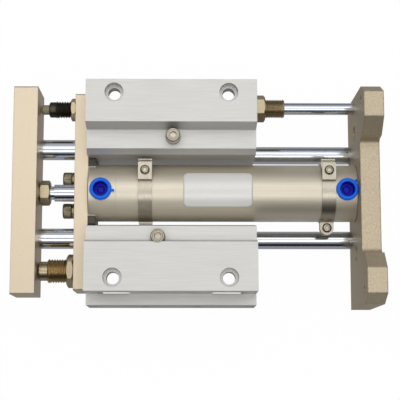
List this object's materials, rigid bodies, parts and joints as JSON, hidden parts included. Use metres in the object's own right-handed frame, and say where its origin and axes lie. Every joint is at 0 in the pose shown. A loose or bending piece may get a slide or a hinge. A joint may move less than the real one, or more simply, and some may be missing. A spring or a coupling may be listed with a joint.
{
  "type": "guided pneumatic cylinder",
  "caption": "Air cylinder between two guide bodies; its piston rod and guide rods push a front plate out, dampers soften the return, and a horned plate closes the rear.",
  "frame": {"origin": "centre of the four mounting holes, on the plane under the ears that the mounting screws clamp", "axes": "+X along the stroke, from the front plate to the rear plate; +Z out of the mounting holes, towards the screw heads and the air ports; +Y to the side with the slim rod"},
  "size_m": [0.2107, 0.1275, 0.069],
  "materials": {
    "anodised_aluminium": "clear anodised, satin",
    "plated_steel": "warm nickel plating, satin",
    "cast_aluminium": "fine cast and tumbled",
    "satin_aluminium": "extruded, satin",
    "chromed_rod": "hard chromed and ground",
    "nickel_steel": "nickel plated",
    "stainless_sheet": "brushed sheet",
    "black_screws": "black oxide",
    "black_steel": "black oxide, threaded",
    "bronze_steel": "yellow zinc plating, threaded",
    "plunger_plastic": "moulded",
    "plunger_steel": "ground",
    "bronze": "sintered bronze",
    "black_rubber": "moulded rubber",
    "blue_plastic": "soft moulded cap",
    "label_foil": "silver foil, blank",
    "magnet": "bonded ferrite",
    "wear_plastic": "moulded wear ring"
  },
  "bodies": {
    "base": {"guide_body_right": "anodised_aluminium", "guide_body_left": "anodised_aluminium", "side_rail": "anodised_aluminium", "rail_screws": "black_screws", "grease_plugs": "nickel_steel", "front_flange": "plated_steel", "cover_screws": "nickel_steel", "cover_washers": "nickel_steel", "body_screws": "nickel_steel", "slide_bush_right": "bronze", "slide_bush_left": "bronze", "rod_wiper_right": "black_rubber", "rod_wiper_left": "black_rubber", "rod_cover": "satin_aluminium", "rod_bush": "bronze", "rod_seal": "black_rubber", "tube_gasket": "black_rubber", "front_bumper": "black_rubber", "rear_bumper": "black_rubber", "cylinder_tube": "satin_aluminium", "port_cap_front": "blue_plastic", "port_cap_rear": "blue_plastic", "switch_band_front": "stainless_sheet", "switch_band_rear": "stainless_sheet", "band_screws": "nickel_steel", "label_sheet": "label_foil", "small_damper_sleeve": "black_steel", "small_damper_nut": "nickel_steel", "large_damper_sleeve": "bronze_steel", "large_damper_nut": "nickel_steel", "rear_plate": "cast_aluminium", "stay_rod_right": "chromed_rod", "stay_rod_left": "chromed_rod", "stay_screws": "black_screws", "head_screws": "black_screws", "slim_rod": "chromed_rod", "gland": "nickel_steel"},
    "carriage": {"front_plate": "plated_steel", "guide_rod_right": "chromed_rod", "guide_rod_left": "chromed_rod", "guide_rod_screws": "black_screws", "piston_rod": "chromed_rod", "rod_washer": "nickel_steel", "rod_nut": "nickel_steel", "piston": "satin_aluminium", "piston_seal": "black_rubber", "piston_magnet": "magnet", "wear_ring": "wear_plastic"},
    "small_plunger": {"small_damper_plunger": "plunger_plastic"},
    "large_plunger": {"large_damper_plunger": "plunger_steel"}
  },
  "joints": [
    {"name": "carriage_slide", "type": "slide", "parent": "base", "child": "carriage", "axis": [-1, 0, 0], "range_m": [0, 0.075]},
    {"name": "small_plunger_slide", "type": "slide", "parent": "base", "child": "small_plunger", "axis": [1, 0, 0], "range_m": [0, 0.0045], "stiffness_N_per_m": 400, "springref_m": -0.001},
    {"name": "large_plunger_slide", "type": "slide", "parent": "base", "child": "large_plunger", "axis": [1, 0, 0], "range_m": [0, 0.0045], "stiffness_N_per_m": 900, "springref_m": -0.001}
  ]
}
